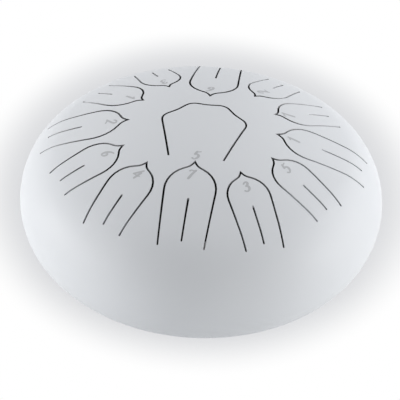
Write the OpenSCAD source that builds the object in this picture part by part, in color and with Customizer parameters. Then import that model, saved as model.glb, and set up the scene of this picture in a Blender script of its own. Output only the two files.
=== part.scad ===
// Steel tongue drum: two pressed steel shells welded rim to rim, with thirteen tongues
// cut through the upper shell, a sound hole in the lower one, tuning magnets under the
// tongues and four rubber feet. All sizes are in millimetres.
// Z points up, the player sits on the -Y side and +X is the player's right.
// The origin lies on the floor, on the drum's axis.

/* [Shells] */
// Diameter over the welded rims
drum_d = 300; // [285:1:330]
// Outer radius of the shallow crown of each shell
crown_r = 286; // [270:1:310]
// Outer radius of the shoulder that turns the crown into the rim
shoulder_r = 57; // [50:1:60]
// Thickness of the steel sheet
sheet_t = 2; // [1.5:0.1:3]
// Diameter of the sound hole in the lower shell
sound_hole_d = 70; // [50:1:90]
// Height of the lower shell's lowest point above the floor
floor_gap = 3.5; // [2:0.5:8]

/* [Seam] */
// Width of the weld on the outside of the seam
weld_face_w = 2.6; // [2:0.1:4]
// Width of the weld at its root, on the inside of the seam
weld_root_w = 0.8; // [0.4:0.1:1.2]

/* [Tongues] */
// Width of the laser cut round each tongue
slit_w = 1.5; // [0.9:0.1:2]
// Length of the reference tongue seen from above, as a share of the drum's radius
tongue_l_share = 0.503; // [0.45:0.001:0.513]
// Angle by which the tongue that leans most leans from its radius towards the Y axis
tongue_lean = 5.4; // [0:0.2:6]

/* [Centre tongue, each size as a share of the drum's radius] */
// Width of the centre tongue at its root
centre_root_w_share = 0.296; // [0.24:0.002:0.332]
// Distance of that root in front of the drum's axis
centre_root_y_share = 0.303; // [0.26:0.001:0.32]
// Width of the centre tongue over its side corners
centre_side_w_share = 0.474; // [0.4:0.002:0.49]
// Distance of the side corners behind the drum's axis
centre_side_y_share = 0.031; // [0:0.001:0.053]
// Width of the centre tongue over its end corners
centre_end_w_share = 0.19; // [0.16:0.002:0.24]
// Distance of the end corners behind the drum's axis
centre_end_y_share = 0.175; // [0.16:0.001:0.19]
// Depth of the hollow in each of its three end edges
centre_hollow_share = 0.0125; // [0.007:0.0005:0.02]
// Rounding of the four corners
centre_corner_r_share = 0.062; // [0.03:0.002:0.08]
// Rounding in the hollow of each end edge
centre_hollow_r_share = 0.129; // [0.069:0.002:0.189]

/* [Tuning magnets] */
// Diameter of a magnet
magnet_d = 10; // [8:0.5:12]
// Thickness of a magnet
magnet_t = 3; // [2:0.5:5]
// Chamfer on a magnet's edges
magnet_chamfer = 0.4; // [0.2:0.1:0.8]
// Distance of the centre tongue's magnet behind the drum's axis
centre_magnet_y = 14; // [8:1:18]

/* [Feet] */
// Radius of the circle on which the feet stand
foot_circle_r = 70; // [55:1:90]
// Diameter of a foot where it is glued to the shell
foot_top_d = 22; // [16:1:26]
// Diameter of a foot where it meets the floor
foot_base_d = 18; // [12:1:22]
// Rounding of a foot's lower edge
foot_edge_r = 1.5; // [1:0.25:2.5]

/* [Hidden] */
FOOT_NODES = ["foot_front_right", "foot_back_right", "foot_back_left", "foot_front_left"];
// The ring's magnets, anticlockwise from the front as seen from above, by their notes
RING_MAGNET_NODES = [
    "magnet_b3", "magnet_e4", "magnet_g4", "magnet_c4", "magnet_b4", "magnet_d5",
    "magnet_a3", "magnet_e5", "magnet_c5", "magnet_d4", "magnet_a4", "magnet_f4"
];
$fn = 128;

// Each tongue of the ring, anticlockwise from the front as seen from above: semitones
// above the reference tongue's note, tip radius and half width as shares of the drum's
// radius, start of the centre slit as a share of the tongue's length from its tip, lean as
// a share of the largest lean, and turn off its even place as a share of the ring's step
RING_SHARES = [
    [0, 0.341, 0.137, 0.488, 0, 0],
    [5, 0.437, 0.116, 0.50, 0.85, -0.02],
    [8, 0.446, 0.114, 0.545, 0.59, -0.015],
    [1, 0.40, 0.127, 0.505, 0.05, 0.005],
    [12, 0.415, 0.115, 0.61, -0.69, 0.035],
    [15, 0.424, 0.116, 0.62, -1, 0.01],
    [-2, 0.273, 0.135, 0.50, 0, 0.02],
    [17, 0.442, 0.115, 0.65, 0.71, 0.025],
    [13, 0.417, 0.122, 0.67, 0.34, -0.025],
    [3, 0.415, 0.135, 0.555, -0.1, 0.01],
    [10, 0.462, 0.123, 0.597, -0.32, 0.015],
    [6, 0.44, 0.128, 0.549, -0.99, 0.003]
];
ring_count = len(RING_SHARES);
ring_step = 360 / ring_count;
// A tongue's length goes with the inverse square root of its pitch
semitones_to_halve_l = 24;
// Corners of half a petal, as shares of its half width: across, and back from the tip
ogee_corner_shares = [0.14, 0.25];
shoulder_corner_shares = [1.025, 0.68];
// Roundings at those corners, as shares of the half width
ogee_r_share = 0.5;
shoulder_r_share = 1.1;
// Half width at the root, as a share of the widest
root_w_share = 0.885;
// End of the centre slit and place of the magnet, as shares of the length from the tip
centre_slit_end_share = 0.955;
magnet_place_share = 0.22;

drum_r = drum_d / 2;
shoulder_centre_r = drum_r - shoulder_r;
crown_drop = sqrt(pow(crown_r - shoulder_r, 2) - pow(shoulder_centre_r, 2));
// Depth by which the crown bites into the shoulder, so that the two cross cleanly
crown_bite = 0.02;
crown_centre_h = -crown_drop - crown_bite;
shell_h = crown_r + crown_centre_h;
seam_z = floor_gap + shell_h;
// Angle above the horizontal at which the crown runs into the shoulder
blend_angle = atan2(crown_drop, shoulder_centre_r);
// Length by which a cutting shape overruns what it cuts
overrun = sheet_t;
// Most that one straight step of a rounded cut turns, and steps in its round ends
arc_step = 12;
end_steps = 3;
// Film of glue between a foot and the shell, and gap between a magnet and its tongue
glue_t = 0.05;
seat_gap = 0.02;

function dir(angle) = [cos(angle), sin(angle)];
function heading(a, b) = atan2(b.y - a.y, b.x - a.x);

// Turn of a path at one of its corners, positive to the left
function turn(path, i) =
    let (t = heading(path[i], path[i + 1]) - heading(path[i - 1], path[i]))
    t - 360 * round(t / 360);

// Distance from a corner to where its rounding starts; an end has none
function easing(path, radii, i) =
    i == 0 || i == len(path) - 1 ? 0 : radii[i] * tan(abs(turn(path, i)) / 2);

// Length of a tongue in the ring
function ring_l(k) =
    tongue_l_share * drum_r * pow(2, -RING_SHARES[k][0] / semitones_to_halve_l);
function ring_root_r(k) = RING_SHARES[k][1] * drum_r + ring_l(k);
function ring_half_w(k) = RING_SHARES[k][2] * drum_r;
function ring_slit_start(k) = RING_SHARES[k][3] * ring_l(k);
function ring_lean(k) = RING_SHARES[k][4] * tongue_lean;
function ring_angle(k) = (k + RING_SHARES[k][5]) * ring_step;

// Rows of a path: x, y, heading, and how far a mitre there stretches the slit
function row_at(p, ahead, stretch = 1) = [p.x, p.y, ahead, stretch];

// Rows along the rounding of a path's corner, or the one row of a sharp corner
function corner_rows(path, radii, i) =
    let (in = heading(path[i - 1], path[i]), bend = turn(path, i), side = 90 * sign(bend))
    let (start = path[i] - easing(path, radii, i) * dir(in))
    let (centre = start + radii[i] * dir(in + side), steps = ceil(abs(bend) / arc_step))
    radii[i] == 0 ? [row_at(path[i], in + bend / 2, 1 / cos(bend / 2))] :
    [
        for (s = [0 : steps])
            let (ahead = in + bend * s / steps)
            row_at(centre + radii[i] * dir(ahead - side), ahead)
    ];

// Rows along a whole path whose corners are rounded
function path_rows(path, radii) =
    let (last = len(path) - 1)
    [
        row_at(path[0], heading(path[0], path[1])),
        for (i = [1 : 1 : last - 1]) each corner_rows(path, radii, i),
        row_at(path[last], heading(path[last - 1], path[last]))
    ];

// One edge of a slit, to the left of its path where aside is positive
function slit_edge(rows, aside) =
    [for (row = rows) [row.x, row.y] + aside * row[3] * dir(row.z + 90)];

// Round end of a slit, from its left edge over to its right edge
function slit_end(row, ahead) = [
    for (s = [1 : end_steps - 1])
        [row.x, row.y] + slit_w / 2 * dir(ahead + 90 - 180 * s / end_steps)
];

function reversed(list) = [for (i = [len(list) - 1 : -1 : 0]) list[i]];

// Laser cut along a path whose corners are rounded
module slit(path, radii) {
    rows = path_rows(path, radii);
    last = rows[len(rows) - 1];
    polygon(concat(
        slit_edge(rows, slit_w / 2),
        slit_end(last, last.z),
        reversed(slit_edge(rows, -slit_w / 2)),
        slit_end(rows[0], rows[0].z + 180)
    ));
}

// Slits of one tongue of the ring, with its tip at the origin and its root towards -Y
module petal_slits(l, half_w, slit_start) {
    right = [
        half_w * [ogee_corner_shares.x, -ogee_corner_shares.y],
        half_w * [shoulder_corner_shares.x, -shoulder_corner_shares.y],
        [root_w_share * half_w, -l]
    ];
    left = [for (p = reversed(right)) [-p.x, p.y]];
    ogee_r = ogee_r_share * half_w;
    petal_r = shoulder_r_share * half_w;
    slit(
        concat(left, [[0, 0]], right),
        [0, petal_r, ogee_r, 0, ogee_r, petal_r, 0]
    );
    slit([[0, -slit_start], [0, -centre_slit_end_share * l]], [0, 0]);
}

// Puts a thing drawn with a tongue's tip at the origin where tongue k of the ring lies
module in_ring(k) {
    rotate(ring_angle(k)) translate([0, -ring_root_r(k)])
        rotate(-ring_lean(k)) translate([0, ring_l(k)])
            children();
}

// Halfway point of an edge, moved into the tongue by the depth of its hollow
function hollow_point(a, b) =
    (a + b) / 2 - centre_hollow_share * drum_r * dir(heading(a, b) + 90);

// Slit round the free edges of the centre tongue, which is rooted on the player's side
module centre_slit() {
    root = drum_r * [centre_root_w_share / 2, -centre_root_y_share];
    side = drum_r * [centre_side_w_share / 2, centre_side_y_share];
    end = drum_r * [centre_end_w_share / 2, centre_end_y_share];
    left_root = [-root.x, root.y];
    left_side = [-side.x, side.y];
    left_end = [-end.x, end.y];
    corner_r = centre_corner_r_share * drum_r;
    hollow_r = centre_hollow_r_share * drum_r;
    slit(
        [
            left_root, left_side, hollow_point(left_side, left_end),
            left_end, hollow_point(left_end, end),
            end, hollow_point(end, side), side, root
        ],
        [0, corner_r, hollow_r, corner_r, hollow_r, corner_r, hollow_r, corner_r, 0]
    );
}

// What lies under a shell's outer face, or under its inner face for an inset of the
// sheet's thickness, on the right of the axis and past the rim's plane
module dish_section(inset) {
    blend_x = (crown_r - inset) * cos(blend_angle);
    intersection() {
        translate([0, crown_centre_h]) circle(crown_r - inset);
        union() {
            translate([shoulder_centre_r, 0]) circle(shoulder_r - inset);
            translate([-drum_r, -drum_r]) square([drum_r + blend_x, drum_r + drum_d]);
        }
    }
}

// Section of the groove between the two rims, from one radius to another
module weld_section(from_r, to_r) {
    flare = (weld_face_w - weld_root_w) / 2 / sheet_t;
    from_half = weld_root_w / 2 + flare * (from_r - drum_r + sheet_t);
    to_half = weld_root_w / 2 + flare * (to_r - drum_r + sheet_t);
    polygon([[from_r, -from_half], [to_r, -to_half], [to_r, to_half], [from_r, from_half]]);
}

// One pressed shell, crown up, with its rim bevelled for the weld
module pressed_shell() {
    rotate_extrude() intersection() {
        difference() {
            dish_section(0);
            dish_section(sheet_t);
            weld_section(drum_r - sheet_t - weld_root_w / 2, drum_r + weld_root_w / 2);
        }
        square(drum_d);
    }
}

module top_shell() {
    color("#dfe2e6") translate([0, 0, seam_z]) difference() {
        pressed_shell();
        linear_extrude(shell_h + overrun) union() {
            for (k = [0 : ring_count - 1]) in_ring(k)
                petal_slits(ring_l(k), ring_half_w(k), ring_slit_start(k));
            centre_slit();
        }
    }
}

module bottom_shell() {
    color("#d9dce1") translate([0, 0, seam_z]) difference() {
        mirror([0, 0, 1]) pressed_shell();
        translate([0, 0, -shell_h - overrun]) cylinder(d = sound_hole_d, h = shell_h);
    }
}

// Butt weld that joins the rims, dressed flush with the sheet
module seam_weld() {
    color("#c9ccd1") translate([0, 0, seam_z]) rotate_extrude()
        weld_section(drum_r - sheet_t, drum_r);
}

// Rubber foot at the given angle round the drum, shaped to the shell above it
module foot(angle) {
    edge = foot_base_d / 2 - foot_edge_r;
    color("#26272a") difference() {
        rotate(angle) translate([foot_circle_r, 0]) rotate_extrude() {
            polygon([
                [0, 0], [edge, 0], [foot_base_d / 2, foot_edge_r],
                [foot_top_d / 2, shell_h / 2], [0, shell_h / 2]
            ]);
            translate([edge, foot_edge_r]) intersection() {
                circle(foot_edge_r);
                translate([0, -foot_edge_r]) square(foot_edge_r);
            }
        }
        translate([0, 0, floor_gap + crown_r]) sphere(crown_r + glue_t, $fn = 360);
    }
}

// Magnet held against the underside of the crown, below a point seen from above
module magnet(at) {
    seat_r = crown_r - sheet_t;
    tilt = asin(norm(at) / seat_r);
    rim_drop = sqrt(pow(seat_r, 2) - pow(magnet_d / 2, 2));
    rim = magnet_d / 2 - magnet_chamfer;
    color("#b9bcc2") translate([0, 0, seam_z + crown_centre_h])
        rotate(heading([0, 0], at)) rotate([0, tilt, 0])
            translate([0, 0, rim_drop - seat_gap - magnet_t]) rotate_extrude()
                polygon([
                    [0, 0], [rim, 0], [magnet_d / 2, magnet_chamfer],
                    [magnet_d / 2, magnet_t - magnet_chamfer], [rim, magnet_t], [0, magnet_t]
                ]);
}

// Place of the magnet under tongue k of the ring, seen from above
function ring_magnet_at(k) =
    let (angle = ring_angle(k) - 90, back = (1 - magnet_place_share) * ring_l(k))
    ring_root_r(k) * dir(angle) - back * dir(angle - ring_lean(k));

top_shell();
bottom_shell();
seam_weld();
for (k = [0 : len(FOOT_NODES) - 1])
    foot((k - 1 / 2) * 360 / len(FOOT_NODES));
for (k = [0 : ring_count - 1])
    magnet(ring_magnet_at(k));
magnet([0, centre_magnet_y]);  // magnet_g3
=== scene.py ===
"""Looks of the steel tongue drum: its coat, cut edges, note marks, feet, light and camera."""

import logging  # noqa: E402
import math  # noqa: E402
from dataclasses import dataclass, field  # noqa: E402
from enum import Enum  # noqa: E402
from typing import Any  # noqa: E402

import bmesh  # noqa: E402
import bpy  # noqa: E402
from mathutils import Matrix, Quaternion, Vector  # noqa: E402


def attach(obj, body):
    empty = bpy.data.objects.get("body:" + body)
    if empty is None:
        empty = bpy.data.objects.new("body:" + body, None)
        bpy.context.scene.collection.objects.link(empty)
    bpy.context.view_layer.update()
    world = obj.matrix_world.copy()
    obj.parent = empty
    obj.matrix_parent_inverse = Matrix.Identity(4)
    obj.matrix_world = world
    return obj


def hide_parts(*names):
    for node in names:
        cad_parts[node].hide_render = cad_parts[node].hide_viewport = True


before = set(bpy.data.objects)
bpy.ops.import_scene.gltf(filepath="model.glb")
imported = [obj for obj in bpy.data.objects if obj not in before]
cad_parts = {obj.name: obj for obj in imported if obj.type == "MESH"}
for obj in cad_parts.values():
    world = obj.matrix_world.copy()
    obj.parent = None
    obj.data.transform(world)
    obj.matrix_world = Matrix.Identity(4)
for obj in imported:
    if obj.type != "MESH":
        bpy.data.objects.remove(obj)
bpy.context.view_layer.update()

LOG = logging.getLogger("tongue_drum")
MM = 0.001
BODY = "root"
WHITE = "#ffffff"
# Corners of the CAD's loose triangles that lie nearer to each other than this are one corner
ONE_CORNER = 0.002 * MM
# The least radius that a length is divided by, for points on the drum's axis
NEAR_AXIS = 1e-9


class Surface(Enum):
    """The three surfaces of a pressed and coated shell, and their material slots."""

    COAT = 0
    CUT = 1
    INSIDE = 2


def linear(code: str) -> tuple[float, float, float, float]:
    """Turns an sRGB colour into a linear one.

    Args:
        code: Six hex digits after a hash sign.

    Returns:
        Linear red, green and blue, and an alpha of 1.
    """
    parts = [int(code[i : i + 2], 16) / 255 for i in (1, 3, 5)]
    red, green, blue = (
        c / 12.92 if c <= 0.04045 else ((c + 0.055) / 1.055) ** 2.4 for c in parts
    )
    return red, green, blue, 1.0


def add_node(
    tree: bpy.types.NodeTree,
    kind: str,
    settings: dict[str, Any] | None = None,
    links: dict[str | int, bpy.types.NodeSocket] | None = None,
) -> bpy.types.Node:
    """Adds a node to a tree.

    Args:
        tree: The tree that gets the node.
        kind: The node's type name.
        settings: Attributes, or input sockets by name or number, and their values.
        links: Input sockets by name or number, and the outputs that feed them.

    Returns:
        The new node.
    """
    node = tree.nodes.new(kind)
    for key, value in (settings or {}).items():
        if isinstance(key, str) and hasattr(node, key):
            setattr(node, key, value)
        else:
            node.inputs[key].default_value = value
    for key, output in (links or {}).items():
        tree.links.new(output, node.inputs[key])
    return node


def new_material(name: str) -> tuple[bpy.types.Material, bpy.types.NodeTree]:
    """Makes a material with an empty node tree.

    Args:
        name: The material's name.

    Returns:
        The material and its tree.
    """
    material = bpy.data.materials.new(name)
    material.use_nodes = True
    material.node_tree.nodes.clear()
    return material, material.node_tree


def per_mm(size_mm: float) -> float:
    """Texture scale at which one cell of a pattern is so many millimetres wide."""
    return 1 / (size_mm * MM)


def select_only(*objects: bpy.types.Object) -> None:
    """Selects these objects alone and makes the first one active.

    Args:
        objects: The objects to select.
    """
    bpy.ops.object.select_all(action="DESELECT")
    for thing in objects:
        thing.select_set(True)
    bpy.context.view_layer.objects.active = objects[0]


def apply_modifiers(thing: bpy.types.Object) -> None:
    """Applies an object's modifiers from the first to the last.

    Args:
        thing: The object.
    """
    select_only(thing)
    for name in [m.name for m in thing.modifiers]:
        bpy.ops.object.modifier_apply(modifier=name)


def merged_copy(node: str, name: str) -> bpy.types.Object:
    """Copies a CAD node into a piece of its own whose loose triangles are joined.

    Args:
        node: The CAD node's name.
        name: The new piece's name.

    Returns:
        The new piece, which stands for the node.
    """
    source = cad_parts[node]
    piece = bpy.data.objects.new(name, source.data.copy())
    piece.data.name = name
    bpy.context.scene.collection.objects.link(piece)
    piece.data.materials.clear()
    select_only(piece)
    if piece.data.has_custom_normals:
        bpy.ops.mesh.customdata_custom_splitnormals_clear()
    bpy.ops.object.mode_set(mode="EDIT")
    bpy.ops.mesh.select_all(action="SELECT")
    bpy.ops.mesh.remove_doubles(threshold=ONE_CORNER)
    bpy.ops.mesh.normals_make_consistent(inside=False)
    bpy.ops.object.mode_set(mode="OBJECT")
    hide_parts(node)
    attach(piece, BODY)
    return piece


def give(thing: bpy.types.Object, material: bpy.types.Material) -> None:
    """Makes a material the only one of an object.

    Args:
        thing: The object.
        material: The material.
    """
    thing.data.materials.clear()
    thing.data.materials.append(material)
    LOG.info("%s is dressed in %s", thing.name, material.name)


def towards(azimuth: float, elevation: float) -> Vector:
    """Finds the way from the drum to a lamp or to the camera.

    Args:
        azimuth: Degrees to the right of the drum's front.
        elevation: Degrees above the level.

    Returns:
        The direction, one long.
    """
    turn = math.radians(azimuth)
    rise = math.radians(elevation)
    return Vector(
        (math.sin(turn) * math.cos(rise), -math.cos(turn) * math.cos(rise), math.sin(rise))
    )


@dataclass(frozen=True)
class PowderCoat:
    """Polyester powder coat, sprayed and baked: satin, with a faint orange peel."""

    colour: str = "#d9dce0"
    shade: str = "#d3d6db"
    roughness: float = 0.5
    peel_mm: float = 1.6
    peel_depth_mm: float = 0.010
    grain_mm: float = 0.35
    grain_depth_mm: float = 0.0025
    cloud_mm: float = 90.0
    spread: float = 0.03
    ior: float = 1.5
    specular: float = 0.25

    def material(self) -> bpy.types.Material:
        """Builds the coat.

        Returns:
            The material.
        """
        # Baked powder levels out into long soft dimples, with a fine satin grain on top.
        # Its flatting agent scatters most of the shine, so the specular level is low
        made, tree = new_material("polyester_powder_coat_baked")
        place = add_node(tree, "ShaderNodeTexCoord").outputs["Object"]
        cloud = add_node(
            tree,
            "ShaderNodeTexNoise",
            {"Scale": per_mm(self.cloud_mm), "Detail": 2.0},
            {"Vector": place},
        )
        tint = add_node(
            tree,
            "ShaderNodeMix",
            {"data_type": "RGBA", 6: linear(self.shade), 7: linear(self.colour)},
            {"Factor": cloud.outputs["Fac"]},
        )
        peel = add_node(
            tree,
            "ShaderNodeTexNoise",
            {"Scale": per_mm(self.peel_mm), "Detail": 1.0, "Roughness": 0.4},
            {"Vector": place},
        )
        grain = add_node(
            tree,
            "ShaderNodeTexNoise",
            {"Scale": per_mm(self.grain_mm), "Detail": 0.0},
            {"Vector": place},
        )
        dimples = add_node(
            tree,
            "ShaderNodeBump",
            {"Strength": 1.0, "Distance": self.peel_depth_mm * MM},
            {"Height": peel.outputs["Fac"]},
        )
        bumps = add_node(
            tree,
            "ShaderNodeBump",
            {"Strength": 1.0, "Distance": self.grain_depth_mm * MM},
            {"Height": grain.outputs["Fac"], "Normal": dimples.outputs["Normal"]},
        )
        gloss = add_node(
            tree,
            "ShaderNodeMapRange",
            {"To Min": self.roughness - self.spread, "To Max": self.roughness + self.spread},
            {"Value": peel.outputs["Fac"]},
        )
        shader = add_node(
            tree,
            "ShaderNodeBsdfPrincipled",
            {"IOR": self.ior, "Specular IOR Level": self.specular},
            {
                "Base Color": tint.outputs[2],
                "Roughness": gloss.outputs["Result"],
                "Normal": bumps.outputs["Normal"],
            },
        )
        add_node(tree, "ShaderNodeOutputMaterial", links={"Surface": shader.outputs[0]})
        return made


@dataclass(frozen=True)
class LaserCutEdge:
    """Laser-cut mild steel edge: upright striae, painted shade in the middle, painted light at
    the rim.
    """

    # The bare steel's own dark, which also stands for painted shade in the slits
    bare: str = "#1f2022"
    # Painted light: the coat's pale, given to walls where lamps would light them
    painted_lit_wall: str = "#dcdee2"
    roughness: float = 0.6
    stria_mm: float = 0.25
    stria_depth_mm: float = 0.02
    streaks: float = 0.3
    # Painted shade and light: radii and off-centre point over which walls go from dark to pale
    painted_shade_within: float = 75.0 * MM
    painted_lit_past: float = 108.0 * MM
    painted_shade_centre_x: float = -15.0 * MM
    painted_shade_centre_y: float = -12.0 * MM
    painted_light_facing_share: float = 0.85
    upright_scale: float = 0.08
    specular: float = 0.2

    def material(self) -> bpy.types.Material:
        """Builds the cut edge.

        Returns:
            The material.
        """
        # The beam leaves upright ripples. In the photograph the slits are dark near the middle
        # of the drum and pale towards the rim. The colours, the radii, the off-centre point
        # and the share of facing were picked by trying renders against it. Towards the middle
        # and on walls that face inwards the tone is painted shade over the bare steel's own
        # dark;
        # towards the rim and on walls that face out it is painted light in the coat's pale
        made, tree = new_material("mild_steel_laser_cut_painted_light_and_shade")
        place = add_node(tree, "ShaderNodeTexCoord").outputs["Object"]
        upright = add_node(
            tree,
            "ShaderNodeMapping",
            {"Scale": (1.0, 1.0, self.upright_scale)},
            {"Vector": place},
        )
        striae = add_node(
            tree,
            "ShaderNodeTexNoise",
            {"Scale": per_mm(self.stria_mm), "Detail": 1.0},
            {"Vector": upright.outputs["Vector"]},
        )
        level = add_node(
            tree,
            "ShaderNodeMapping",
            {"Location": (-self.painted_shade_centre_x, -self.painted_shade_centre_y, 0.0), "Scale": (1.0, 1.0, 0.0)},
            {"Vector": place},
        )
        outward = add_node(
            tree,
            "ShaderNodeVectorMath",
            {"operation": "NORMALIZE"},
            {"Vector": level.outputs["Vector"]},
        )
        facing = add_node(
            tree,
            "ShaderNodeVectorMath",
            {"operation": "DOT_PRODUCT"},
            {
                0: outward.outputs["Vector"],
                1: add_node(tree, "ShaderNodeNewGeometry").outputs["True Normal"],
            },
        )
        out = add_node(
            tree,
            "ShaderNodeVectorMath",
            {"operation": "LENGTH"},
            {"Vector": level.outputs["Vector"]},
        )
        # Painted light and shade: darker towards the middle, paler towards the rim
        painted_light_ramp = add_node(
            tree,
            "ShaderNodeMapRange",
            {
                "From Min": self.painted_shade_within,
                "From Max": self.painted_lit_past,
                "To Min": -self.streaks / 2,
                "To Max": 1.0 - self.streaks / 2,
            },
            {"Value": out.outputs["Value"]},
        )
        # Painted light and shade: walls that face out are paler, walls that face in darker
        turned = add_node(
            tree,
            "ShaderNodeMath",
            {"operation": "MULTIPLY_ADD", 1: self.painted_light_facing_share},
            {0: facing.outputs["Value"], 2: painted_light_ramp.outputs["Result"]},
        )
        striae_and_painted_light = add_node(
            tree,
            "ShaderNodeMath",
            {"operation": "MULTIPLY_ADD", 1: self.streaks, "use_clamp": True},
            {0: striae.outputs["Fac"], 2: turned.outputs["Value"]},
        )
        tint = add_node(
            tree,
            "ShaderNodeMix",
            {"data_type": "RGBA", 6: linear(self.bare), 7: linear(self.painted_lit_wall)},
            {"Factor": striae_and_painted_light.outputs["Value"]},
        )
        ripple = add_node(
            tree,
            "ShaderNodeBump",
            {"Strength": 1.0, "Distance": self.stria_depth_mm * MM},
            {"Height": striae.outputs["Fac"]},
        )
        shader = add_node(
            tree,
            "ShaderNodeBsdfPrincipled",
            {"Roughness": self.roughness, "Specular IOR Level": self.specular},
            {"Base Color": tint.outputs[2], "Normal": ripple.outputs["Normal"]},
        )
        add_node(tree, "ShaderNodeOutputMaterial", links={"Surface": shader.outputs[0]})
        return made


@dataclass(frozen=True)
class PressedSteel:
    """Cold rolled steel as the press leaves it inside the drum: dark, with a film of oil."""

    colour: str = "#3a3a3c"
    stain: str = "#29282a"
    roughness: float = 0.5
    stain_mm: float = 25.0
    roll_mm: float = 0.5
    roll_depth_mm: float = 0.004
    along_scale: float = 0.05
    spread: float = 0.12
    metallic: float = 0.8

    def material(self) -> bpy.types.Material:
        """Builds the bare inside.

        Returns:
            The material.
        """
        # Rolling leaves a fine grain along the sheet, and dried oil leaves darker clouds
        made, tree = new_material("cold_rolled_steel_pressed")
        place = add_node(tree, "ShaderNodeTexCoord").outputs["Object"]
        stains = add_node(
            tree,
            "ShaderNodeTexNoise",
            {"Scale": per_mm(self.stain_mm), "Detail": 4.0},
            {"Vector": place},
        )
        along = add_node(
            tree,
            "ShaderNodeMapping",
            {"Scale": (1.0, self.along_scale, 1.0)},
            {"Vector": place},
        )
        grain = add_node(
            tree,
            "ShaderNodeTexNoise",
            {"Scale": per_mm(self.roll_mm), "Detail": 2.0},
            {"Vector": along.outputs["Vector"]},
        )
        tint = add_node(
            tree,
            "ShaderNodeMix",
            {"data_type": "RGBA", 6: linear(self.stain), 7: linear(self.colour)},
            {"Factor": stains.outputs["Fac"]},
        )
        lines = add_node(
            tree,
            "ShaderNodeBump",
            {"Strength": 1.0, "Distance": self.roll_depth_mm * MM},
            {"Height": grain.outputs["Fac"]},
        )
        gloss = add_node(
            tree,
            "ShaderNodeMapRange",
            {"To Min": self.roughness - self.spread, "To Max": self.roughness + self.spread},
            {"Value": stains.outputs["Fac"]},
        )
        shader = add_node(
            tree,
            "ShaderNodeBsdfPrincipled",
            {"Metallic": self.metallic},
            {
                "Base Color": tint.outputs[2],
                "Roughness": gloss.outputs["Result"],
                "Normal": lines.outputs["Normal"],
            },
        )
        add_node(tree, "ShaderNodeOutputMaterial", links={"Surface": shader.outputs[0]})
        return made


@dataclass(frozen=True)
class LaserMark:
    """Powder coat darkened by a marking laser: a faint grey without gloss."""

    colour: str = "#adafb3"
    light: str = "#bcbec2"
    roughness: float = 0.7
    speck_mm: float = 0.4
    ior: float = 1.5

    def material(self) -> bpy.types.Material:
        """Builds the mark.

        Returns:
            The material.
        """
        # The beam passes in close dots, so the tone is mottled and the satin is gone
        made, tree = new_material("powder_coat_laser_marked")
        place = add_node(tree, "ShaderNodeTexCoord").outputs["Object"]
        dots = add_node(
            tree,
            "ShaderNodeTexNoise",
            {"Scale": per_mm(self.speck_mm), "Detail": 2.0},
            {"Vector": place},
        )
        tint = add_node(
            tree,
            "ShaderNodeMix",
            {"data_type": "RGBA", 6: linear(self.colour), 7: linear(self.light)},
            {"Factor": dots.outputs["Fac"]},
        )
        shader = add_node(
            tree,
            "ShaderNodeBsdfPrincipled",
            {"Roughness": self.roughness, "IOR": self.ior},
            {"Base Color": tint.outputs[2]},
        )
        add_node(tree, "ShaderNodeOutputMaterial", links={"Surface": shader.outputs[0]})
        return made


@dataclass(frozen=True)
class MouldedRubber:
    """Black rubber from a blasted mould: matt, with a fine pebble and a little dust."""

    colour: str = "#1d1d1f"
    dust: str = "#3b3a39"
    roughness: float = 0.78
    pebble_mm: float = 0.5
    pebble_depth_mm: float = 0.03
    dust_from: float = 0.45
    dust_full: float = 0.9
    dust_share: float = 0.6
    ior: float = 1.52

    def material(self) -> bpy.types.Material:
        """Builds the rubber.

        Returns:
            The material.
        """
        # A blasted mould prints a fine pebble, in whose hollows pale dust settles
        made, tree = new_material("rubber_moulded_blasted")
        place = add_node(tree, "ShaderNodeTexCoord").outputs["Object"]
        pebble = add_node(
            tree,
            "ShaderNodeTexVoronoi",
            {"Scale": per_mm(self.pebble_mm), "feature": "SMOOTH_F1"},
            {"Vector": place},
        )
        dusty = add_node(
            tree,
            "ShaderNodeMapRange",
            {
                "From Min": self.dust_from,
                "From Max": self.dust_full,
                "To Max": self.dust_share,
            },
            {"Value": pebble.outputs["Distance"]},
        )
        tint = add_node(
            tree,
            "ShaderNodeMix",
            {"data_type": "RGBA", 6: linear(self.colour), 7: linear(self.dust)},
            {"Factor": dusty.outputs["Result"]},
        )
        relief = add_node(
            tree,
            "ShaderNodeBump",
            {"Strength": 1.0, "Distance": self.pebble_depth_mm * MM, "invert": True},
            {"Height": pebble.outputs["Distance"]},
        )
        shader = add_node(
            tree,
            "ShaderNodeBsdfPrincipled",
            {"Roughness": self.roughness, "IOR": self.ior},
            {"Base Color": tint.outputs[2], "Normal": relief.outputs["Normal"]},
        )
        add_node(tree, "ShaderNodeOutputMaterial", links={"Surface": shader.outputs[0]})
        return made


@dataclass(frozen=True)
class NickelPlate:
    """Barrel plated nickel on a sintered magnet: bright, with fine scuffs."""

    colour: str = "#cfcac0"
    roughness: float = 0.24
    scuff_mm: float = 1.2
    polish: float = 0.1
    wear: float = 0.16

    def material(self) -> bpy.types.Material:
        """Builds the plating.

        Returns:
            The material.
        """
        # Parts tumble against each other in the barrel, which dulls the shine in patches
        made, tree = new_material("nickel_barrel_plated")
        place = add_node(tree, "ShaderNodeTexCoord").outputs["Object"]
        scuffs = add_node(
            tree,
            "ShaderNodeTexNoise",
            {"Scale": per_mm(self.scuff_mm), "Detail": 5.0},
            {"Vector": place},
        )
        gloss = add_node(
            tree,
            "ShaderNodeMapRange",
            {"To Min": self.roughness - self.polish, "To Max": self.roughness + self.wear},
            {"Value": scuffs.outputs["Fac"]},
        )
        shader = add_node(
            tree,
            "ShaderNodeBsdfPrincipled",
            {"Base Color": linear(self.colour), "Metallic": 1.0},
            {"Roughness": gloss.outputs["Result"]},
        )
        add_node(tree, "ShaderNodeOutputMaterial", links={"Surface": shader.outputs[0]})
        return made


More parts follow.
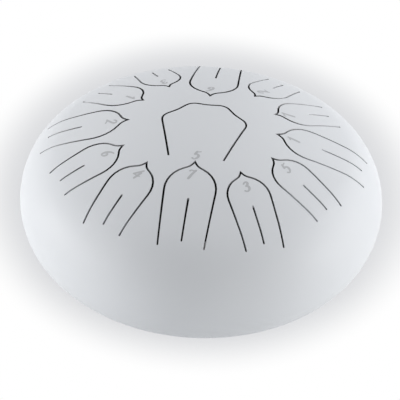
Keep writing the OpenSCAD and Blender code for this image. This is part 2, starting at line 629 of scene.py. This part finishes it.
@dataclass
class ShellForm:
    """The form that both shells are pressed to, about the plane of their rims."""

    rim_r: float = 150.0 * MM
    crown_r: float = 286.0 * MM
    shoulder_r: float = 57.0 * MM
    sheet: float = 2.0 * MM
    seam_z: float = 80.215 * MM

    @property
    def shoulder_centre(self) -> float:
        """Radius of the circle on which the shoulder's arc is centred."""
        return self.rim_r - self.shoulder_r

    @property
    def crown_drop(self) -> float:
        """Depth of the crown's centre past the plane of the rims."""
        return math.sqrt((self.crown_r - self.shoulder_r) ** 2 - self.shoulder_centre**2)

    def depth_and_outward(self, point: Vector) -> tuple[float, Vector]:
        """Measures a point against the skin of the drum.

        Args:
            point: A point in or on the sheet.

        Returns:
            How deep the point lies under the outer skin, and which way is outwards.
        """
        side = 1.0 if point.z >= self.seam_z else -1.0
        out = math.hypot(point.x, point.y)
        up = abs(point.z - self.seam_z)
        in_shoulder = (
            out * self.crown_drop > self.shoulder_centre * (up + self.crown_drop)
        )
        across, along, radius = (
            (out - self.shoulder_centre, up, self.shoulder_r)
            if in_shoulder
            else (out, up + self.crown_drop, self.crown_r)
        )
        span = math.hypot(across, along)
        turned = across / span / max(out, NEAR_AXIS)
        return radius - span, Vector(
            (point.x * turned, point.y * turned, side * along / span)
        )


@dataclass
class CoatedShells:
    """Both pressed shells and the weld between them, under one coat."""

    form: ShellForm
    coat: bpy.types.Material
    cut: bpy.types.Material
    inside: bpy.types.Material
    lip: float = 0.1 * MM
    shortest_edge: float = 0.16 * MM
    lip_steps: int = 1
    lip_angle: float = 45.0
    rim_band: float = 3.0 * MM
    slack: float = 0.13 * MM
    flush_merge: float = 0.001 * MM
    smooth_angle: float = 35.0
    coat_facing: float = 0.85
    inside_facing: float = -0.25
    skin_facing: float = 0.97
    nodes: tuple[str, ...] = ("top_shell", "bottom_shell", "seam_weld")

    def build(self) -> None:
        """Builds the shells and the weld."""
        pieces = {}
        for node in self.nodes:
            piece = merged_copy(node, f"{node}_coated")
            if node == "seam_weld":
                self.dress_flush(piece, pieces["top_shell"])
            else:
                self.break_lips(piece)
            self.dress(piece)
            pieces[node] = piece
            LOG.info("%s has %d faces", piece.name, len(piece.data.polygons))

    def dress_flush(self, weld: bpy.types.Object, shell: bpy.types.Object) -> None:
        """Sets the outer corners of the weld on those of a shell's rim, flush with it.

        Args:
            weld: The weld.
            shell: The shell.
        """
        rim = [
            corner.co.xy
            for corner in shell.data.vertices
            if self.at_rims(corner.co) and self.is_outer(corner.co)
        ]
        work = bmesh.new()
        work.from_mesh(weld.data)
        for vertex in work.verts:
            if self.is_outer(vertex.co):
                place = vertex.co.xy
                vertex.co.xy = min(rim, key=lambda corner: (corner - place).length)
        bmesh.ops.remove_doubles(work, verts=work.verts, dist=self.flush_merge)
        work.to_mesh(weld.data)
        work.free()

    def is_outer(self, point: Vector) -> bool:
        """Whether a point lies on the skin of the drum, but for the chords of its facets.

        Args:
            point: The point.

        Returns:
            True on the skin.
        """
        return self.form.depth_and_outward(point)[0] < self.slack

    def break_lips(self, piece: bpy.types.Object) -> None:
        """Chamfers the lips of the cuts, which then take the tone of the cut walls.

        Args:
            piece: The shell.
        """
        # Melting powder draws back from sharp edges. That it did so on this drum is a guess,
        # and the chamfer was picked by how dark the slits are in the photograph. The lips take
        # the cut walls' painted light and shade, so near the middle their dark is painted shade
        # that widens the slits. Very short edges are joined first, because a chamfer next to one
        # folded over
        work = bmesh.new()
        work.from_mesh(piece.data)
        bmesh.ops.dissolve_degenerate(work, dist=self.shortest_edge, edges=work.edges)
        weight = work.edges.layers.float.new("bevel_weight_edge")
        for edge in work.edges:
            sharp = edge.calc_face_angle(0.0) > math.radians(self.lip_angle)
            welded = all(self.at_rims(corner.co) for corner in edge.verts)
            edge[weight] = float(sharp and not welded)
        work.to_mesh(piece.data)
        work.free()
        lips = piece.modifiers.new("lips", "BEVEL")
        lips.width = self.lip
        lips.segments = self.lip_steps
        lips.limit_method = "WEIGHT"
        lips.use_clamp_overlap = False
        lips.loop_slide = True
        apply_modifiers(piece)

    def at_rims(self, point: Vector) -> bool:
        """Whether a point lies by the plane where the rims are welded.

        Args:
            point: The point.

        Returns:
            True within the welded band.
        """
        return abs(point.z - self.form.seam_z) < self.rim_band

    def surface_of(self, depth: float, facing: float, at_rims: bool) -> Surface:
        """Says which surface a face belongs to.

        Args:
            depth: Depth of the face's middle under the outer skin.
            facing: Cosine of the angle between the face's normal and outwards.
            at_rims: Whether the face lies at the weld, which is coated over.

        Returns:
            The surface.
        """
        if at_rims:
            return Surface.COAT if depth < self.form.sheet / 2 else Surface.INSIDE
        if facing > self.coat_facing and depth < self.slack:
            return Surface.COAT
        at_back = depth > self.form.sheet - self.lip - self.slack
        if facing < self.inside_facing and at_back:
            return Surface.INSIDE
        return Surface.CUT

    def dress(self, piece: bpy.types.Object) -> None:
        """Gives each face its surface, and each skin the normals of the pressed form.

        Args:
            piece: The shell or the weld.
        """
        mesh = piece.data
        for material in (self.coat, self.cut, self.inside):
            mesh.materials.append(material)
        select_only(piece)
        bpy.ops.object.shade_smooth_by_angle(angle=math.radians(self.smooth_angle))
        outward = [self.form.depth_and_outward(v.co)[1] for v in mesh.vertices]
        normals = [Vector((0.0, 0.0, 0.0))] * len(mesh.loops)
        for face in mesh.polygons:
            depth, out = self.form.depth_and_outward(face.center)
            facing = face.normal.dot(out)
            at_rims = self.at_rims(face.center)
            surface = self.surface_of(depth, facing, at_rims)
            face.material_index = surface.value
            if abs(facing) > self.skin_facing or at_rims:
                turn = -1.0 if surface is Surface.INSIDE else 1.0
                for loop in face.loop_indices:
                    normals[loop] = outward[mesh.loops[loop].vertex_index] * turn
        mesh.normals_split_custom_set(normals)


@dataclass(frozen=True)
class Stroke:
    """One pen stroke of a numeral, in a box one unit high that leans to the right."""

    points: tuple[tuple[float, float], ...]


NUMERAL_STROKES: dict[int, tuple[Stroke, ...]] = {
    1: (
        Stroke(((0.36, 0.99), (0.36, 0.5), (0.35, 0.0))),
        Stroke(((0.37, 0.97), (0.25, 0.86), (0.13, 0.79))),
    ),
    2: (
        Stroke(
            (
                (0.08, 0.76), (0.16, 0.93), (0.34, 0.99), (0.51, 0.88), (0.5, 0.67),
                (0.3, 0.36), (0.05, 0.06),
            )
        ),
        Stroke(((0.03, 0.06), (0.3, 0.09), (0.6, 0.02))),
    ),
    3: (
        Stroke(
            (
                (0.11, 0.82), (0.22, 0.94), (0.38, 0.94), (0.47, 0.81), (0.41, 0.65),
                (0.26, 0.56),
            )
        ),
        Stroke(
            (
                (0.26, 0.56), (0.45, 0.5), (0.53, 0.3), (0.44, 0.1), (0.26, 0.03),
                (0.1, 0.13),
            )
        ),
    ),
    4: (
        Stroke(((0.46, 1.0), (0.25, 0.66), (0.03, 0.34))),
        Stroke(((0.02, 0.33), (0.34, 0.32), (0.68, 0.34))),
        Stroke(((0.49, 0.7), (0.47, 0.35), (0.45, 0.0))),
    ),
    5: (
        Stroke(((0.56, 0.97), (0.42, 0.92), (0.24, 0.93))),
        Stroke(((0.25, 0.94), (0.2, 0.77), (0.16, 0.6))),
        Stroke(
            (
                (0.16, 0.58), (0.34, 0.61), (0.5, 0.48), (0.52, 0.27), (0.4, 0.09),
                (0.23, 0.02), (0.09, 0.12),
            )
        ),
    ),
    6: (
        Stroke(
            (
                (0.58, 0.97), (0.36, 0.86), (0.17, 0.62), (0.1, 0.33), (0.18, 0.1),
                (0.33, 0.04), (0.48, 0.16), (0.49, 0.37), (0.36, 0.49), (0.2, 0.43),
                (0.12, 0.31),
            )
        ),
    ),
    7: (
        Stroke(((0.07, 0.86), (0.16, 0.96), (0.36, 0.92), (0.59, 0.97))),
        Stroke(((0.57, 0.97), (0.36, 0.5), (0.2, 0.02))),
        Stroke(((0.38, 0.55), (0.31, 0.28), (0.25, 0.02))),
    ),
}


@dataclass(frozen=True)
class NoteMark:
    """The numeral of one note: what it says and where its middle lies."""

    note: str
    numeral: int
    angle: float
    radius: float


NOTE_MARKS = (
    NoteMark("b3", 7, -1.0, 64.6),
    NoteMark("e4", 3, 32.6, 80.4),
    NoteMark("g4", 5, 62.3, 80.7),
    NoteMark("c4", 1, 89.7, 73.7),
    NoteMark("b4", 7, 117.3, 74.2),
    NoteMark("d5", 2, 148.2, 78.1),
    NoteMark("a3", 6, 181.9, 53.7),
    NoteMark("e5", 3, 212.5, 79.5),
    NoteMark("c5", 1, 240.2, 76.4),
    NoteMark("d4", 2, 269.9, 76.2),
    NoteMark("a4", 6, 299.9, 83.3),
    NoteMark("f4", 4, 326.6, 79.2),
    NoteMark("g3", 5, -0.1, 43.8),
)


@dataclass
class NumeralSet:
    """The numerals that the laser marks on the tongues, tops towards the middle."""

    form: ShellForm
    mark: bpy.types.Material
    height: float = 9.2 * MM
    slope: float = 0.2
    hairline: float = 1.05 * MM
    nib: float = 2.4 * MM
    nib_angle: float = 8.0
    end_share: float = 0.85
    depth: float = 1.0 * MM
    grain: float = 0.16 * MM
    proud: float = 0.02 * MM
    thick: float = 0.02 * MM
    box_middle: tuple[float, float] = (0.31, 0.5)
    curve_steps: int = 8
    dot_sides: int = 24
    upward: float = 0.7

    def build(self) -> None:
        """Draws each numeral once and marks every tongue with a copy."""
        drawn = {digit: self.draw(strokes) for digit, strokes in NUMERAL_STROKES.items()}
        for entry in NOTE_MARKS:
            self.mark_note(entry, drawn[entry.numeral])
        for flat in drawn.values():
            bpy.data.objects.remove(flat)

    def pen_width(self, ahead: Vector) -> float:
        """Width that a slanted nib draws.

        Args:
            ahead: The way the pen moves.

        Returns:
            The stroke's width there.
        """
        across = math.sin(math.atan2(ahead.y, ahead.x) - math.radians(self.nib_angle))
        return self.hairline + (self.nib - self.hairline) * abs(across)

    def draw(self, strokes: tuple[Stroke, ...]) -> bpy.types.Object:
        """Draws a numeral flat on the floor as one outline without overlaps.

        Args:
            strokes: The pen strokes.

        Returns:
            The flat numeral, about the origin.
        """
        parts = [part for stroke in strokes for part in self.write(stroke)]
        for part in parts:
            block = part.modifiers.new("block", "SOLIDIFY")
            block.thickness = self.depth
            block.offset = 0.0
            apply_modifiers(part)
        select_only(*parts)
        bpy.ops.object.join()
        numeral = parts[0]
        united = numeral.modifiers.new("united", "REMESH")
        united.mode = "VOXEL"
        united.voxel_size = self.grain
        apply_modifiers(numeral)
        self.flatten(numeral)
        return numeral

    def write(self, stroke: Stroke) -> list[bpy.types.Object]:
        """Draws one pen stroke as a flat ribbon with a round dot at either end.

        Args:
            stroke: The stroke.

        Returns:
            The ribbon and the two dots.
        """
        bpy.ops.object.select_all(action="DESELECT")
        bpy.ops.curve.primitive_bezier_curve_add()
        ribbon = bpy.context.active_object
        curve = ribbon.data
        curve.splines.clear()
        curve.dimensions = "3D"
        curve.twist_mode = "Z_UP"
        curve.resolution_u = self.curve_steps
        # At a knot whose radius is 1 the ribbon is then a millimetre wide
        curve.extrude = MM / 2
        spline = curve.splines.new("BEZIER")
        spline.bezier_points.add(len(stroke.points) - 1)
        middle_x, middle_y = self.box_middle
        places = [
            Vector((x - middle_x + self.slope * (y - middle_y), y - middle_y, 0.0)) * self.height
            for x, y in stroke.points
        ]
        last = len(places) - 1
        dots = []
        for i, (knot, place) in enumerate(zip(spline.bezier_points, places)):
            width = self.pen_width(places[min(i + 1, last)] - places[max(i - 1, 0)])
            if i in (0, last):
                width *= self.end_share
                dots.append((place, width))
            knot.co = place
            knot.handle_left_type = knot.handle_right_type = "AUTO"
            knot.radius = width / MM
            knot.tilt = math.pi / 2
        bpy.ops.object.convert(target="MESH")
        return [ribbon] + [self.dot(place, width) for place, width in dots]

    def dot(self, place: Vector, width: float) -> bpy.types.Object:
        """Draws the round end that the pen leaves.

        Args:
            place: The end of the stroke.
            width: The dot's diameter.

        Returns:
            The dot.
        """
        bpy.ops.object.select_all(action="DESELECT")
        bpy.ops.mesh.primitive_circle_add(
            vertices=self.dot_sides, radius=width / 2, fill_type="NGON", location=place
        )
        bpy.ops.object.transform_apply(location=True, rotation=True, scale=True)
        return bpy.context.active_object

    def flatten(self, numeral: bpy.types.Object) -> None:
        """Keeps the upper face of a block only.

        Args:
            numeral: The numeral as a block.
        """
        select_only(numeral)
        bpy.ops.object.mode_set(mode="EDIT")
        bpy.ops.mesh.select_mode(type="FACE")
        bpy.ops.mesh.select_all(action="DESELECT")
        bpy.ops.object.mode_set(mode="OBJECT")
        for face in numeral.data.polygons:
            face.select = face.normal.z < self.upward
        bpy.ops.object.mode_set(mode="EDIT")
        bpy.ops.mesh.delete(type="FACE")
        bpy.ops.object.mode_set(mode="OBJECT")

    def mark_note(self, entry: NoteMark, flat: bpy.types.Object) -> None:
        """Copies a flat numeral and bends it to the shell, a hair proud of the coat.

        Args:
            entry: The numeral and its place.
            flat: The flat numeral.
        """
        piece = bpy.data.objects.new(f"numeral_{entry.note}", flat.data.copy())
        bpy.context.scene.collection.objects.link(piece)
        turn = math.radians(entry.angle)
        piece.rotation_euler.z = turn
        piece.location = Vector((math.sin(turn), -math.cos(turn), 0.0)) * entry.radius * MM
        select_only(piece)
        bpy.ops.object.transform_apply(location=True, rotation=True, scale=True)
        mesh = piece.data
        for vertex in mesh.vertices:
            out = math.hypot(vertex.co.x, vertex.co.y)
            rise = math.sqrt(self.form.crown_r**2 - out**2) - self.form.crown_drop
            vertex.co.z = self.form.seam_z + rise + self.proud
        solid = piece.modifiers.new("mark", "SOLIDIFY")
        solid.thickness = self.thick
        solid.offset = 0.0
        apply_modifiers(piece)
        bpy.ops.object.shade_smooth()
        outward = [self.form.depth_and_outward(v.co)[1] for v in mesh.vertices]
        mesh.normals_split_custom_set([outward[loop.vertex_index] for loop in mesh.loops])
        give(piece, self.mark)
        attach(piece, BODY)


@dataclass
class Feet:
    """The four glued rubber feet."""

    rubber: bpy.types.Material
    nodes: tuple[str, ...] = (
        "foot_front_right",
        "foot_back_right",
        "foot_back_left",
        "foot_front_left",
    )

    def dress(self) -> None:
        """Gives the feet their rubber."""
        for node in self.nodes:
            give(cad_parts[node], self.rubber)


@dataclass
class TuningMagnets:
    """The magnets under the tongues."""

    nickel: bpy.types.Material

    def dress(self) -> None:
        """Gives the magnets their plating."""
        for entry in NOTE_MARKS:
            give(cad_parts[f"magnet_{entry.note}"], self.nickel)


SMALL_BOX = 0.48
LARGE_BOX = 0.9
BOX_DISTANCE = 1.6
WARM_WHITE = "#fffdfa"


@dataclass(frozen=True)
class Softbox:
    """A square area lamp that faces the drum."""

    name: str
    azimuth: float
    elevation: float
    side: float
    power: float
    colour: str = WHITE
    distance: float = BOX_DISTANCE

    def build(self, target: Vector) -> None:
        """Hangs the lamp.

        Args:
            target: The point that it faces.
        """
        away = towards(self.azimuth, self.elevation)
        data = bpy.data.lights.new(self.name, "AREA")
        data.size = self.side
        data.energy = self.power
        data.color = linear(self.colour)[:3]
        lamp = bpy.data.objects.new(self.name, data)
        lamp.location = target + away * self.distance
        lamp.rotation_mode = "QUATERNION"
        lamp.rotation_quaternion = away.to_track_quat("Z", "Y")
        bpy.context.scene.collection.objects.link(lamp)


def rays_that_see(tree: bpy.types.NodeTree) -> bpy.types.NodeSocket:
    """Picks the rays that show a backdrop: straight, mirrored or through something clear.

    Args:
        tree: The tree that gets the nodes.

    Returns:
        The output that is 1 for such a ray and 0 for the others.
    """
    rays = add_node(tree, "ShaderNodeLightPath")
    mirrored = add_node(
        tree,
        "ShaderNodeMath",
        {"operation": "MAXIMUM"},
        {0: rays.outputs["Is Glossy Ray"], 1: rays.outputs["Is Transmission Ray"]},
    )
    seen = add_node(
        tree,
        "ShaderNodeMath",
        {"operation": "MAXIMUM"},
        {0: rays.outputs["Is Camera Ray"], 1: mirrored.outputs[0]},
    )
    return seen.outputs[0]


@dataclass
class Studio:
    """Plain pale floor, soft light and the photograph's camera."""

    centre: Vector = field(default_factory=lambda: Vector((0.0, 0.0, 80.2 * MM)))
    camera_distance: float = 1.8
    camera_elevation: float = 36.7
    camera_azimuth: float = 6.6
    camera_roll: float = 2.03
    lens_px: float = 2167.0
    image_px: float = 400.0
    centre_px: tuple[float, float] = (201.3, 196.6)
    sensor_mm: float = 36.0
    clip_near: float = 0.05
    clip_far: float = 50.0
    floor_r: float = 9.0
    floor_sides: int = 96
    paper_colour: str = "#eceded"
    paper_roughness: float = 0.9
    halo_behind: float = 0.126
    halo_size: tuple[float, float] = (0.1947, 0.2403)
    halo_from: float = 0.78
    halo_to: float = 1.095
    # Painted shade: the grey that the floor glows with round the drum
    painted_shade_grey: str = "#d9dadd"
    paper_share: float = 0.16
    dark_r: float = 0.045
    clear_r: float = 0.082
    world_level: float = 0.4
    softboxes: tuple[Softbox, ...] = (
        Softbox("softbox_left_low", -85.0, 6.0, SMALL_BOX, 10.3, WARM_WHITE),
        Softbox("softbox_right_low", 85.0, 6.0, SMALL_BOX, 9.4, WARM_WHITE),
        Softbox("softbox_front_left", -60.0, 6.0, SMALL_BOX, 5.8),
        Softbox("softbox_front_right", 30.0, 6.0, SMALL_BOX, 1.4),
        Softbox("softbox_right", 110.0, 25.0, LARGE_BOX, 5.9),
        Softbox("softbox_back", 180.0, 30.0, LARGE_BOX, 1.4),
        Softbox("softbox_back_high", 180.0, 60.0, LARGE_BOX, 7.0),
    )

    def build(self) -> None:
        """Builds floor, light and camera."""
        self.floor()
        self.world()
        for softbox in self.softboxes:
            softbox.build(self.centre)
        self.camera()

    def floor(self) -> None:
        """Lays the floor."""
        bpy.ops.object.select_all(action="DESELECT")
        bpy.ops.mesh.primitive_circle_add(
            vertices=self.floor_sides,
            radius=self.floor_r,
            fill_type="TRIFAN",
            location=(0, 0, 0),
        )
        floor = bpy.context.active_object
        floor.name = "studio_floor"
        floor.data.materials.append(self.floor_material())

    def floor_material(self) -> bpy.types.Material:
        """Builds the pale floor, with painted shade round the drum that fades to white away from
        it.

        Returns:
            The material.
        """
        # Matt white paper takes the drum's shadow. Where it is seen it also glows, with painted
        # shade of pale grey round the drum that fades to white farther out, but not in the
        # shadow below it
        made, tree = new_material("paper_matt_studio")
        place = add_node(tree, "ShaderNodeTexCoord").outputs["Object"]
        turn = math.radians(self.camera_azimuth)
        facing = add_node(
            tree,
            "ShaderNodeMapping",
            {
                "vector_type": "TEXTURE",
                "Location": (
                    -math.sin(turn) * self.halo_behind,
                    math.cos(turn) * self.halo_behind,
                    0.0,
                ),
                "Rotation": (0.0, 0.0, turn),
                "Scale": (*self.halo_size, 1.0),
            },
            {"Vector": place},
        )
        reach = add_node(
            tree,
            "ShaderNodeVectorMath",
            {"operation": "LENGTH"},
            {0: facing.outputs["Vector"]},
        )
        fade = add_node(
            tree,
            "ShaderNodeMapRange",
            {
                "interpolation_type": "SMOOTHSTEP",
                "From Min": self.halo_from,
                "From Max": self.halo_to,
            },
            {"Value": reach.outputs["Value"]},
        )
        # Painted shade: glow colour is grey near the drum and white farther out
        painted_shade_tone = add_node(
            tree,
            "ShaderNodeMix",
            {"data_type": "RGBA", 6: linear(self.painted_shade_grey), 7: linear(WHITE)},
            {"Factor": fade.outputs["Result"]},
        )
        bare = add_node(
            tree,
            "ShaderNodeMath",
            {"operation": "MULTIPLY_ADD", 1: self.paper_share, 2: 1.0 - self.paper_share},
            {0: fade.outputs["Result"]},
        )
        out = add_node(
            tree, "ShaderNodeVectorMath", {"operation": "LENGTH"}, {0: place}
        )
        clear = add_node(
            tree,
            "ShaderNodeMapRange",
            {
                "interpolation_type": "SMOOTHSTEP",
                "From Min": self.dark_r,
                "From Max": self.clear_r,
            },
            {"Value": out.outputs["Value"]},
        )
        share = add_node(
            tree,
            "ShaderNodeMath",
            {"operation": "MULTIPLY"},
            {0: clear.outputs["Result"], 1: bare.outputs["Value"]},
        )
        seen = add_node(
            tree,
            "ShaderNodeMath",
            {"operation": "MULTIPLY"},
            {0: rays_that_see(tree), 1: share.outputs[0]},
        )
        paper = add_node(
            tree,
            "ShaderNodeBsdfPrincipled",
            {"Base Color": linear(self.paper_colour), "Roughness": self.paper_roughness},
        )
        glow = add_node(
            tree,
            "ShaderNodeEmission",
            {"Strength": 1.0},
            {"Color": painted_shade_tone.outputs[2]},
        )
        mix = add_node(
            tree,
            "ShaderNodeMixShader",
            links={0: seen.outputs[0], 1: paper.outputs[0], 2: glow.outputs[0]},
        )
        add_node(tree, "ShaderNodeOutputMaterial", links={"Surface": mix.outputs[0]})
        return made

    def world(self) -> None:
        """Surrounds the drum with even pale light, seen as white."""
        world = bpy.data.worlds.new("studio")
        world.use_nodes = True
        bpy.context.scene.world = world
        tree = world.node_tree
        tree.nodes.clear()
        level = add_node(
            tree,
            "ShaderNodeMapRange",
            {"To Min": self.world_level, "To Max": 1.0},
            {"Value": rays_that_see(tree)},
        )
        back = add_node(
            tree,
            "ShaderNodeBackground",
            {"Color": linear(WHITE)},
            {"Strength": level.outputs["Result"]},
        )
        add_node(tree, "ShaderNodeOutputWorld", links={"Surface": back.outputs[0]})

    def camera(self) -> None:
        """Stands the camera where the photograph was taken from."""
        back = towards(self.camera_azimuth, self.camera_elevation)
        data = bpy.data.cameras.new("camera")
        data.sensor_fit = "HORIZONTAL"
        data.sensor_width = self.sensor_mm
        data.lens = self.lens_px * data.sensor_width / self.image_px
        data.clip_start = self.clip_near
        data.clip_end = self.clip_far
        camera = bpy.data.objects.new("camera", data)
        bpy.context.scene.collection.objects.link(camera)
        roll = Quaternion((0.0, 0.0, 1.0), math.radians(self.camera_roll))
        view = back.to_track_quat("Z", "Y") @ roll
        right = view @ Vector((1.0, 0.0, 0.0))
        up = view @ Vector((0.0, 1.0, 0.0))
        pixel = self.camera_distance / self.lens_px
        aside = (self.image_px / 2 - self.centre_px[0]) * pixel
        above = (self.centre_px[1] - self.image_px / 2) * pixel
        camera.location = self.centre + back * self.camera_distance
        aim = self.centre + right * aside + up * above
        aimed = (camera.location - aim).to_track_quat("Z", "Y")
        camera.rotation_mode = "QUATERNION"
        camera.rotation_quaternion = aimed @ roll
        bpy.context.scene.camera = camera


def main() -> None:
    """Builds and dresses the drum, then the studio round it."""
    logging.basicConfig(level=logging.INFO, format="%(name)s: %(message)s")
    form = ShellForm()
    coat = PowderCoat().material()
    cut = LaserCutEdge().material()
    inside = PressedSteel().material()
    CoatedShells(form, coat, cut, inside).build()
    NumeralSet(form, LaserMark().material()).build()
    Feet(MouldedRubber().material()).dress()
    TuningMagnets(NickelPlate().material()).dress()
    Studio().build()
    bpy.context.scene.view_settings.view_transform = "Standard"


if __name__ == "__main__":
    main()
